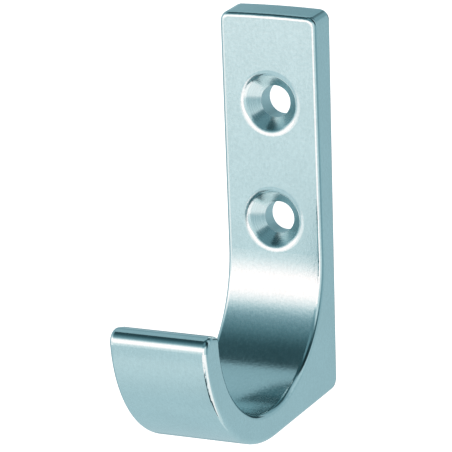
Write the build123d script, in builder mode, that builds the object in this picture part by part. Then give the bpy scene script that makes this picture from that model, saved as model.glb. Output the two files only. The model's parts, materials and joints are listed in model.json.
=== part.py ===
from build123d import *
import os
from math import cos, radians, sin, tan

os.makedirs("parts", exist_ok=True)

# One-piece coat hook, in mm. X runs across the hook, -Y points away from the wall
# and +Z is up. The origin lies on the wall face, midway between the two screw holes.

# Body
width = 18.0  # across the side faces
height = 68.5  # lowest point of the underside to the top of the plate at the wall
plate_foot = 5.1  # plate thickness where the throat begins
plate_lean = 1.4  # degrees; the front face leans out towards the top
top_fall = 4.5  # degrees; the top falls away from the wall
top_crown = 0.2  # the top falls this much from its middle to its sides

# Hook
wall = 5.0  # thickness carried round under the throat and up the lip
back_radius = 21.0  # throat, from the plate down to its lowest point
lip_radius = 18.0  # throat, from its lowest point up the lip
underside_drop = 5.2  # degrees; the underside falls away from the wall
lip_bevel = 1.5  # degrees; the inside of the lip stops this short of level, the outside past it

# Rounding
heel_radius = 2.0  # wall face into the underside
lip_edge_radius = 2.2  # top outer edge of the lip
corner_radius = 1.8  # two top corners of the plate, seen from the front
edge_radius = 0.9  # every edge around the two sides, and the inner edge of the lip

# Screw holes
hole_diameter = 5.5
countersink_diameter = 10.2
countersink_angle = 90.0
countersink_rim_radius = 1.6  # where the countersink runs out into the front face
drill_clearance = 2.0  # the drill planes stand this far in front of the plate
lower_hole_above_lip = 9.1  # over the middle of the lip's end, so that a screwdriver clears it
hole_spacing = 20.3

# Both throat arcs meet at the lowest point of the throat, on one line square to the wall.
throat_depth = plate_foot + back_radius
outer_radius = lip_radius + wall
back_center = (throat_depth, wall + back_radius)
lip_center = (throat_depth, wall + lip_radius)

# The side view is drawn with the distance from the wall to the right and the height above the
# lowest point of the underside upwards.
origin_height = lip_center[1] + lower_hole_above_lip + hole_spacing / 2
side_view = Plane(origin=(0, 0, -origin_height), x_dir=(0, -1, 0), z_dir=(-1, 0, 0))

# The front view hangs from the middle of the top at the wall and looks along the fall of the
# top. It trims the top of the side view, and passes well clear of it everywhere else.
reach = throat_depth + outer_radius
view_clearance = 2.0
fall_direction = (0, -cos(radians(top_fall)), -sin(radians(top_fall)))
front_view = Plane(origin=(0, 0, height - origin_height), x_dir=(1, 0, 0), z_dir=fall_direction)

with BuildPart() as coat_hook:
    with BuildSketch(side_view) as profile:
        with BuildLine() as outline:
            throat_back = CenterArc(back_center, back_radius, 180 - plate_lean, 90 + plate_lean)
            throat_lip = CenterArc(lip_center, lip_radius, -90, 90 - lip_bevel)
            lip_outside = CenterArc(
                lip_center, outer_radius, lip_bevel, -90 - lip_bevel - underside_drop
            )
            lip_top = Line(throat_lip @ 1, lip_outside @ 0)
            underside = PolarLine(
                lip_outside @ 1,
                (lip_outside @ 1).X,
                angle=180 - underside_drop,
                length_mode=LengthMode.HORIZONTAL,
            )
            plate_front = PolarLine(
                throat_back @ 0,
                height + view_clearance - (throat_back @ 0).Y,
                angle=90 - plate_lean,
                length_mode=LengthMode.VERTICAL,
            )
            plate_top = Line(plate_front @ 1, (0, height + view_clearance))
            wall_line = Line(plate_top @ 1, underside @ 1)
        make_face()
        heel_corner = vertices().group_by(Axis.X)[0].sort_by(Axis.Y)[0]
        fillet(heel_corner, heel_radius)
        lip_corner = vertices().sort_by(Axis.X)[-1]
        fillet(lip_corner, lip_edge_radius)
    extrude(amount=width / 2, both=True)

    # The top is crowned and its two corners are rounded before the edges are, so that the side
    # rounding runs on over the top.
    with BuildSketch(front_view) as front:
        with BuildLine() as front_outline:
            side_top = (width / 2, -top_crown)
            side_foot = (width / 2, -height - view_clearance)
            top_arc = ThreePointArc(side_top, (0, 0), (-width / 2, -top_crown))
            Polyline(top_arc @ 1, (-side_foot[0], side_foot[1]), side_foot, side_top)
        make_face()
        fillet(vertices().group_by(Axis.Y)[-1], corner_radius)
    extrude(amount=2 * reach, mode=Mode.INTERSECT)

    # The hook is made to be handled: both side outlines and the inner edge of the lip are
    # rounded in one go, which also gives the lip its blended corners.
    side_faces = faces().filter_by(Axis.X)
    side_edges = side_faces.edges().filter_by(Axis.Y, reverse=True)
    lip_inner_corner = side_view.from_local_coords(throat_lip @ 1)
    lip_inner_edge = edges().filter_by(Axis.X).sort_by_distance(lip_inner_corner)[0]
    fillet([*side_edges, lip_inner_edge], edge_radius)

    # Countersunk screw holes, square to the wall. Each drill plane stands clear of the leaning
    # front face and its countersink is as much wider, so that the rim in the face has its size.
    drill_planes = []
    for hole_z in (hole_spacing / 2, -hole_spacing / 2):
        above_throat = origin_height + hole_z - back_center[1]
        plate_there = plate_foot + above_throat * tan(radians(plate_lean))
        drill_point = (0, -plate_there - drill_clearance, hole_z)
        drill_planes.append(Plane(origin=drill_point, x_dir=(1, 0, 0), z_dir=(0, -1, 0)))
    widening = drill_clearance * tan(radians(countersink_angle / 2))
    with Locations(*drill_planes):
        CounterSinkHole(
            radius=hole_diameter / 2,
            counter_sink_radius=countersink_diameter / 2 + widening,
            counter_sink_angle=countersink_angle,
        )

    # The rims are the only new edges that are neither circles nor the straight seams of the holes.
    hole_edges = edges(Select.LAST).filter_by(GeomType.CIRCLE, reverse=True)
    rims = hole_edges.filter_by(GeomType.LINE, reverse=True)
    fillet(rims, countersink_rim_radius)

coat_hook.part.label = "coat_hook"
export_step(coat_hook.part, "parts/coat_hook.step")
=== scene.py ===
"""Looks of the coat hook: satin metal in a plain, soft studio. Lengths are in metres."""
import json
from math import cos, pi, radians, sin

import bpy
from mathutils import Matrix, Vector


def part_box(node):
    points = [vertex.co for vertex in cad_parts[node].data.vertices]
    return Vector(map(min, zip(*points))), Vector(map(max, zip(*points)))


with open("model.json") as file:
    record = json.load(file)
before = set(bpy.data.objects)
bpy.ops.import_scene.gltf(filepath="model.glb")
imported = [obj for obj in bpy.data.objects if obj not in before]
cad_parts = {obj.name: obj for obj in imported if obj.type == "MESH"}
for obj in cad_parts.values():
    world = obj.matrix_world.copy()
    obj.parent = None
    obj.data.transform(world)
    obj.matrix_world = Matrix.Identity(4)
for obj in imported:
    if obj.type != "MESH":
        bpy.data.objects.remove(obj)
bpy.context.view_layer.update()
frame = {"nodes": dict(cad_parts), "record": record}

HOOK = "coat_hook"
mounts = {mount["name"]: mount for mount in frame["record"]["mounts"]}
low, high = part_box(HOOK)
half_width = high.x
LIP_TOP = -0.0193  # height of the lip's end

# ---------------------------------------------------------------- node helpers


def new_material(name):
    material = bpy.data.materials.new(name)
    material.use_nodes = True
    material.node_tree.nodes.clear()
    return material


class Nodes:
    """Short calls for building one node tree. A link is an output socket, a value anything else."""

    def __init__(self, tree):
        self.tree = tree

    def add(self, kind, inputs=None, **settings):
        node = self.tree.nodes.new(kind)
        for name, value in settings.items():
            setattr(node, name, value)
        for name, value in (inputs or {}).items():
            if isinstance(value, bpy.types.NodeSocket):
                self.tree.links.new(value, node.inputs[name])
            else:
                node.inputs[name].default_value = value
        return node

    def math(self, operation, a, b=0.0, clamp=False):
        node = self.add("ShaderNodeMath", {0: a, 1: b}, operation=operation, use_clamp=clamp)
        return node.outputs[0]

    def vector(self, operation, a, b=(0, 0, 0)):
        node = self.add("ShaderNodeVectorMath", {0: a, 1: b}, operation=operation)
        return node.outputs["Value" if operation in ("LENGTH", "DOT_PRODUCT") else 0]

    def xyz(self, vector):
        return self.add("ShaderNodeSeparateXYZ", {0: vector}).outputs

    def remap(self, value, from_span, to_span=(0.0, 1.0), shape="LINEAR"):
        inputs = {0: value, 1: from_span[0], 2: from_span[1], 3: to_span[0], 4: to_span[1]}
        return self.add("ShaderNodeMapRange", inputs, interpolation_type=shape).outputs[0]

    def step(self, value, start, end):
        """Soft step from 0 at start to 1 at end. It falls where end is the smaller."""
        return self.remap(value, (start, end), shape="SMOOTHSTEP")

    def noise(self, vector, scale, detail=2.0, roughness=0.5):
        inputs = {"Vector": vector, "Scale": scale, "Detail": detail, "Roughness": roughness}
        return self.add("ShaderNodeTexNoise", inputs).outputs["Fac"]

    def mix_values(self, factor, a, b):
        return self.add("ShaderNodeMix", {0: factor, 2: a, 3: b}, data_type="FLOAT").outputs[0]

    def mix_colours(self, factor, a, b):
        return self.add("ShaderNodeMix", {0: factor, 6: a, 7: b}, data_type="RGBA").outputs[2]


# ---------------------------------------------------------------- satin metal

METAL = (0.57, 0.735, 0.757, 1.0)
SHADES = (0.945, 1.05)  # the metal's colour varies between these two shares of it
HOLES = [mounts["upper_screw_hole"]["pos_m"], mounts["lower_screw_hole"]["pos_m"]]

# Each finish comes in over a short span, from its first trace to its full strength.
COUNTERSINK = (0.0047, 0.0043)  # radii about a hole's axis
BORE = (0.00277, 0.00276)  # radii about a hole's axis
SIDE_EDGE = (0.0011, 0.0007)  # distances in from a side face
TOP_EDGE = (0.0016, 0.0010)  # distances down from the top
LIP_EDGE = (0.0024, 0.0018)  # distances down from the lip's end
LIP_FRONT = (0.0090, 0.0080)  # distances back from the foremost point
OFF_SIDE_FACE = (0.995, 0.98)  # how far a surface faces sideways, where 1 is a side face
SIDE_FACE = (0.8, 0.97)  # the same, from the other finish to the side face's own

# Noise frequencies per metre along X, Y and Z.
PROFILE_LINES = (3300, 900, 900)
SIDE_LINES = (900, 2600, 900)
RINGS = (4200, 1, 1)  # the first is along the radius
MOTTLE = 1900.0
CLOUD = 150.0
NOISE_SPAN = (0.3, 0.7)  # the noise keeps mostly to this part of 0 to 1

SATIN_ROUGHNESS = (0.15, 0.21)
EDGE_POLISH = 0.35  # share of the roughness that the edges lose
BORE_ROUGHNESS = 0.25  # what the bores have more of
BUMP_STRENGTH = 0.17
BUMP_DEPTH = 0.0001


def satin_metal():
    material = new_material("satin_metal")
    nodes = Nodes(material.node_tree)
    place = nodes.add("ShaderNodeTexCoord").outputs["Object"]
    normal = nodes.add("ShaderNodeNewGeometry").outputs["Normal"]
    x, y, z = nodes.xyz(place)
    from_middle = nodes.math("ABSOLUTE", x)
    facing_side = nodes.math("ABSOLUTE", nodes.xyz(normal)[0])

    # Distance from the nearer screw hole's axis.
    from_hole = 1.0
    for hole in HOLES:
        off_axis = nodes.vector("MULTIPLY", nodes.vector("SUBTRACT", place, hole), (1, 0, 1))
        from_hole = nodes.math("MINIMUM", nodes.vector("LENGTH", off_axis), from_hole)
    in_hole = nodes.step(from_hole, *COUNTERSINK)
    in_bore = nodes.step(from_hole, *BORE)

    # Rounded edges: along both sides, over the top and round the lip's end.
    at_side = nodes.step(from_middle, *(half_width - inset for inset in SIDE_EDGE))
    at_top = nodes.step(z, *(high.z - drop for drop in TOP_EDGE))
    near_lip_top = nodes.step(z, *(LIP_TOP - drop for drop in LIP_EDGE))
    in_lip = nodes.step(y, *(low.y + distance for distance in LIP_FRONT))
    lip_end = nodes.math("MULTIPLY", near_lip_top, in_lip)
    on_edge = nodes.math("MAXIMUM", nodes.math("MAXIMUM", at_side, at_top), lip_end)
    on_edge = nodes.math("MULTIPLY", on_edge, nodes.step(facing_side, *OFF_SIDE_FACE))

    # Brush lines run round the profile on the front, the throat and the lip, and up the side faces.
    profile_lines = nodes.noise(nodes.vector("MULTIPLY", place, PROFILE_LINES), 1.0, 3.0, 0.6)
    side_lines = nodes.noise(nodes.vector("MULTIPLY", place, SIDE_LINES), 1.0, 3.0, 0.6)
    on_side = nodes.step(facing_side, *SIDE_FACE)
    lines = nodes.mix_values(on_side, profile_lines, side_lines)
    mottle = nodes.noise(place, MOTTLE, 2.0, 0.5)
    grain = nodes.math("ADD", nodes.math("MULTIPLY", lines, 0.45), nodes.math("MULTIPLY", mottle, 0.55))

    # The countersinks are turned: fine rings about the axis instead of brush lines.
    radius = nodes.add("ShaderNodeCombineXYZ", {0: from_hole}).outputs[0]
    rings = nodes.noise(nodes.vector("MULTIPLY", radius, RINGS), 1.0, 2.0)
    grain = nodes.mix_values(in_hole, grain, rings)

    cloud = nodes.noise(place, CLOUD, 3.0, 0.5)
    shade = nodes.math("ADD", nodes.math("MULTIPLY", grain, 0.75), nodes.math("MULTIPLY", cloud, 0.25))
    darker, lighter = (tuple(share * part for part in METAL[:3]) + (1.0,) for share in SHADES)
    colour = nodes.mix_colours(nodes.step(shade, *NOISE_SPAN), darker, lighter)

    satin = nodes.remap(shade, NOISE_SPAN, SATIN_ROUGHNESS)
    polish = nodes.math("MULTIPLY", on_edge, EDGE_POLISH)
    roughness = nodes.math("MULTIPLY", satin, nodes.math("SUBTRACT", 1.0, polish))
    roughness = nodes.math("ADD", roughness, nodes.math("MULTIPLY", in_bore, BORE_ROUGHNESS))
    strength = nodes.remap(polish, (0.0, EDGE_POLISH), (BUMP_STRENGTH, 0.0))
    bump = nodes.add("ShaderNodeBump", {"Height": grain, "Strength": strength, "Distance": BUMP_DEPTH})
    shader = nodes.add(
        "ShaderNodeBsdfPrincipled",
        {"Base Color": colour, "Roughness": roughness, "Normal": bump.outputs[0], "Metallic": 1.0},
    )
    nodes.add("ShaderNodeOutputMaterial", {"Surface": shader.outputs[0]})
    return material


frame["nodes"][HOOK].material_slots[0].material = satin_metal()

# ---------------------------------------------------------------- camera

AIM = Vector((-0.01233, 0.0011, -0.01379))
DISTANCE = 0.7879
AZIMUTH, ELEVATION, ROLL = radians(26.943), radians(14.087), radians(-1.490)
LENS = 363.97


def direction(azimuth, elevation):
    """Unit vector from the hook: azimuth 0 is straight out from the wall, and grows to the right."""
    return Vector((sin(azimuth) * cos(elevation), -cos(azimuth) * cos(elevation), sin(elevation)))


back = direction(AZIMUTH, ELEVATION)
level = Vector((cos(AZIMUTH), sin(AZIMUTH), 0))
upright = back.cross(level)
right = cos(ROLL) * level + sin(ROLL) * upright
up = back.cross(right)
camera_data = bpy.data.cameras.new("camera")
camera_data.lens = LENS
camera_data.clip_start = 0.01
camera = bpy.data.objects.new("camera", camera_data)
camera.matrix_world = Matrix((right, up, back)).transposed().to_4x4()
camera.location = AIM + DISTANCE * back
bpy.context.scene.collection.objects.link(camera)
bpy.context.scene.camera = camera

# ---------------------------------------------------------------- studio


def link_mesh(name, vertices, faces, material):
    mesh = bpy.data.meshes.new(name)
    mesh.from_pydata(vertices, [], faces)
    mesh.materials.append(material)
    piece = bpy.data.objects.new(name, mesh)
    bpy.context.scene.collection.objects.link(piece)
    return piece


def card(name, azimuths, elevations, distance, material, steps=24):
    """A curved card round the hook, between two azimuths and two elevations in degrees.
    It is there for the metal to reflect, so the camera and the floor don't see it."""
    vertices = []
    for row in range(steps + 1):
        elevation = radians(elevations[0] + (elevations[1] - elevations[0]) * row / steps)
        for column in range(steps + 1):
            azimuth = radians(azimuths[0] + (azimuths[1] - azimuths[0]) * column / steps)
            vertices.append(distance * direction(azimuth, elevation))
    faces = []
    for row in range(steps):
        for column in range(steps):
            first = row * (steps + 1) + column
            faces.append((first, first + 1, first + steps + 2, first + steps + 1))
    piece = link_mesh(name, vertices, faces, material)
    layer = piece.data.uv_layers.new(name="across_card")
    for loop in piece.data.loops:
        row, column = divmod(loop.vertex_index, steps + 1)
        layer.data[loop.index].uv = (column / steps, row / steps)
    for polygon in piece.data.polygons:
        polygon.use_smooth = True
    piece.visible_camera = False
    piece.visible_diffuse = False
    piece.visible_shadow = False
    return piece


METAL_LUMINANCE = (0.121, 0.526, 0.055)  # what the metal's red, green and blue add to it


def teal(level_of_light):
    """Grey of the studio: the darker, the more it leans to blue-green. Above 1 it makes up for
    the metal's own tint, so that highlights turn white. In the metal, each tint looks as bright
    as plain grey of its level."""
    lean = max(0.0, 1.0 - level_of_light)
    over = max(0.0, level_of_light - 1.0)
    red = 1.0 / (1.0 + 0.65 * lean + lean**4) + 0.65 * over
    blue = 1.0 + 0.18 * lean - 0.08 * over
    tint = (red, 1.0, blue)
    luminance = sum(share * part for share, part in zip(METAL_LUMINANCE, tint))
    evened = level_of_light * sum(METAL_LUMINANCE) / luminance
    return tuple(evened * part for part in tint)


def soft_card(name, azimuths, elevations, tone, fades=(5, 5), distance=1.0):
    """Card that fades out over a few degrees along its edges. A nearer one covers a farther one."""
    material = new_material(name)
    nodes = Nodes(material.node_tree)
    across = nodes.xyz(nodes.add("ShaderNodeUVMap", uv_map="across_card").outputs[0])
    cover = 1.0
    for place, span, fade in ((across[0], azimuths, fades[0]), (across[1], elevations, fades[1])):
        edge = fade / (span[1] - span[0])
        cover = nodes.math("MULTIPLY", nodes.step(place, 0.0, edge), cover)
        cover = nodes.math("MULTIPLY", nodes.step(place, 1.0, 1.0 - edge), cover)
    light = nodes.add("ShaderNodeEmission", {"Color": (*teal(tone), 1.0)})
    clear = nodes.add("ShaderNodeBsdfTransparent")
    both = nodes.add("ShaderNodeMixShader", {0: cover, 1: clear.outputs[0], 2: light.outputs[0]})
    nodes.add("ShaderNodeOutputMaterial", {"Surface": both.outputs[0]})
    return card(name, azimuths, elevations, distance, material)


def run_of_tones(nodes, height, tones):
    """Colour ramp over sin(elevation), from pairs of elevation in degrees and light level."""
    ramp = nodes.add("ShaderNodeValToRGB", {"Fac": height})
    elements = ramp.color_ramp.elements
    while len(elements) < len(tones):
        elements.new(0.5)
    for element, (elevation, tone) in zip(elements, tones):
        element.position = 0.5 + 0.5 * sin(radians(elevation))
        element.color = (*teal(tone), 1.0)
    return ramp.outputs[0]


# Light levels of the tent by elevation. The big softbox is its bright band in front.
FRONT = [
    (-90, 1.0), (-80, 0.9), (-70, 0.68), (-62, 0.69), (-52, 0.77), (-36, 0.85), (-29, 0.72),
    (-22, 0.84), (-14, 0.93), (-9, 1.14), (0, 1.45), (6, 1.58), (12, 1.58), (18, 1.42),
    (23, 1.2), (27, 0.86), (31, 0.54), (37, 0.34), (47, 0.2), (53, 0.11), (60, 0.06), (70, 0.08),
]
LEFT = [
    (-90, 0.9), (-76, 0.7), (-36, 0.72), (-14, 0.62), (-4, 0.8), (10, 0.9), (20, 0.8),
    (36, 0.45), (46, 0.3), (56, 0.17), (62, 0.05),
]
REAR = [
    (-90, 0.9), (-74, 0.68), (-45, 0.64), (-17, 0.6), (-11, 0.55), (0, 0.54), (15, 0.54),
    (21, 0.38), (34, 0.4), (45, 0.49), (64, 0.51), (72, 0.28), (80, 0.09),
]
RIGHT = [
    (-90, 0.8), (-60, 1.05), (-30, 1.03), (-22, 0.45), (0, 0.47), (10, 0.52), (18, 0.52),
    (24, 0.42), (30, 0.3), (38, 0.13), (46, 0.05), (80, 0.08),
]
FAR_RIGHT = [
    (-90, 0.9), (-45, 0.75), (-25, 0.6), (-19, 0.42), (0, 0.42), (7, 0.3), (14, 0.12),
    (35, 0.04), (45, 0.01), (75, 0.06),
]
# Away from the front, each of these takes over from what came before it between two azimuths.
SECTORS = [
    (RIGHT, 48, 56),
    (FAR_RIGHT, 68, 76),
    (REAR, 98, 112),
    (LEFT, -62, -84),
    (REAR, -88, -99),
]


def tent_material():
    material = new_material("tent")
    nodes = Nodes(material.node_tree)
    place = nodes.add("ShaderNodeNewGeometry").outputs["Position"]
    x, y, z = nodes.xyz(nodes.vector("NORMALIZE", place))
    height = nodes.remap(z, (-1.0, 1.0))
    turn = nodes.math("DEGREES", nodes.math("ARCTAN2", x, nodes.math("MULTIPLY", y, -1.0)))
    colour = run_of_tones(nodes, height, FRONT)
    for tones, start, end in SECTORS:
        beyond = nodes.step(turn, start, end)
        colour = nodes.mix_colours(beyond, colour, run_of_tones(nodes, height, tones))
    shader = nodes.add("ShaderNodeEmission", {"Color": colour})
    nodes.add("ShaderNodeOutputMaterial", {"Surface": shader.outputs[0]})
    return material


TENT_RADIUS = 1.2
card("tent", (-180, 180), (-90, 90), TENT_RADIUS, tent_material(), steps=72)

# Each card's azimuths, elevations and light level.
soft_card("rear_flag", (138, 186), (31, 78), 0.08, fades=(7, 8))
soft_card("rear_low_flag", (157, 184), (-8, 14), 0.05, distance=0.98)
soft_card("rear_side_flag", (165, 212), (-30, 3), 0.2, fades=(6, 5))
soft_card("left_flag", (-158, -98), (-34, -5), 0.36, fades=(7, 6), distance=0.97)
soft_card("side_card", (102, 132), (-2, 54), 0.68, fades=(6, 8))
soft_card("front_flag", (-23, 11), (-54, -36), 0.05, fades=(8, 5))
soft_card("low_flag", (-41, 18), (-86, -50), 0.05, fades=(9, 5), distance=0.95)
soft_card("high_panel", (-30, 52), (41, 78), 0.28, fades=(12, 8))
soft_card("low_reflector", (8, 68), (-84, -22), 1.3, fades=(16, 5), distance=1.05)
soft_card("front_reflector", (-10, 59), (-28, 2), 1.45, fades=(13, 5))
soft_card("lip_reflector", (-18, 42), (-37, -22), 1.4, fades=(6, 4), distance=1.01)
soft_card("left_reflector", (-74, -36), (-24, 2), 1.2)
soft_card("right_shade", (22, 66), (-26, 34), 0.9, fades=(10, 6), distance=0.96)


def softbox(name, azimuth, elevation, distance, size, radiance):
    """Rectangular area lamp that faces the hook. Its radiance is 1 where it would show plain white."""
    lamp = bpy.data.lights.new(name, "AREA")
    lamp.shape = "RECTANGLE"
    lamp.size, lamp.size_y = size
    lamp.energy = radiance * pi * size[0] * size[1]
    piece = bpy.data.objects.new(name, lamp)
    away = direction(radians(azimuth), radians(elevation))
    piece.location = distance * away
    piece.rotation_euler = away.to_track_quat("Z", "Y").to_euler()
    piece.visible_camera = False
    piece.visible_glossy = False
    bpy.context.scene.collection.objects.link(piece)


softbox("front_softbox", azimuth=-8, elevation=35, distance=1.1, size=(1.4, 0.8), radiance=1.5)

FLOOR_Z = -1.3
FLOOR_HALF = 30.0
FLOOR_WHITE = (0.9, 0.9, 0.9, 1)
FLOOR_GLOW = 0.85
WORLD_GLOW = (0.5, 1.0)  # as a light, and where it is seen


def seen(nodes):
    """1 for a ray that shows what it meets, 0 for one that only gathers light."""
    path = nodes.add("ShaderNodeLightPath").outputs
    shown = nodes.math("ADD", path["Is Camera Ray"], path["Is Glossy Ray"])
    return nodes.math("ADD", shown, path["Is Transmission Ray"], clamp=True)


def floor_material():
    """White floor: it shows as the plain background, and keeps shadows in its diffuse share."""
    material = new_material("floor")
    nodes = Nodes(material.node_tree)
    diffuse = nodes.add("ShaderNodeBsdfDiffuse", {"Color": FLOOR_WHITE})
    light = nodes.add("ShaderNodeEmission", {"Strength": nodes.math("MULTIPLY", seen(nodes), FLOOR_GLOW)})
    both = nodes.add("ShaderNodeAddShader", {0: diffuse.outputs[0], 1: light.outputs[0]})
    nodes.add("ShaderNodeOutputMaterial", {"Surface": both.outputs[0]})
    return material


def studio_world():
    """White surroundings, which light the floor less than they show."""
    world = bpy.data.worlds.new("studio")
    world.use_nodes = True
    world.node_tree.nodes.clear()
    nodes = Nodes(world.node_tree)
    strength = nodes.remap(seen(nodes), (0.0, 1.0), WORLD_GLOW)
    background = nodes.add("ShaderNodeBackground", {"Color": (1, 1, 1, 1), "Strength": strength})
    nodes.add("ShaderNodeOutputWorld", {"Surface": background.outputs[0]})
    return world


floor_corners = [(-1, -1), (1, -1), (1, 1), (-1, 1)]
floor_vertices = [(FLOOR_HALF * a, FLOOR_HALF * b, FLOOR_Z) for a, b in floor_corners]
link_mesh("floor", floor_vertices, [(0, 1, 2, 3)], floor_material())
bpy.context.scene.world = studio_world()
bpy.context.scene.view_settings.view_transform = "Standard"
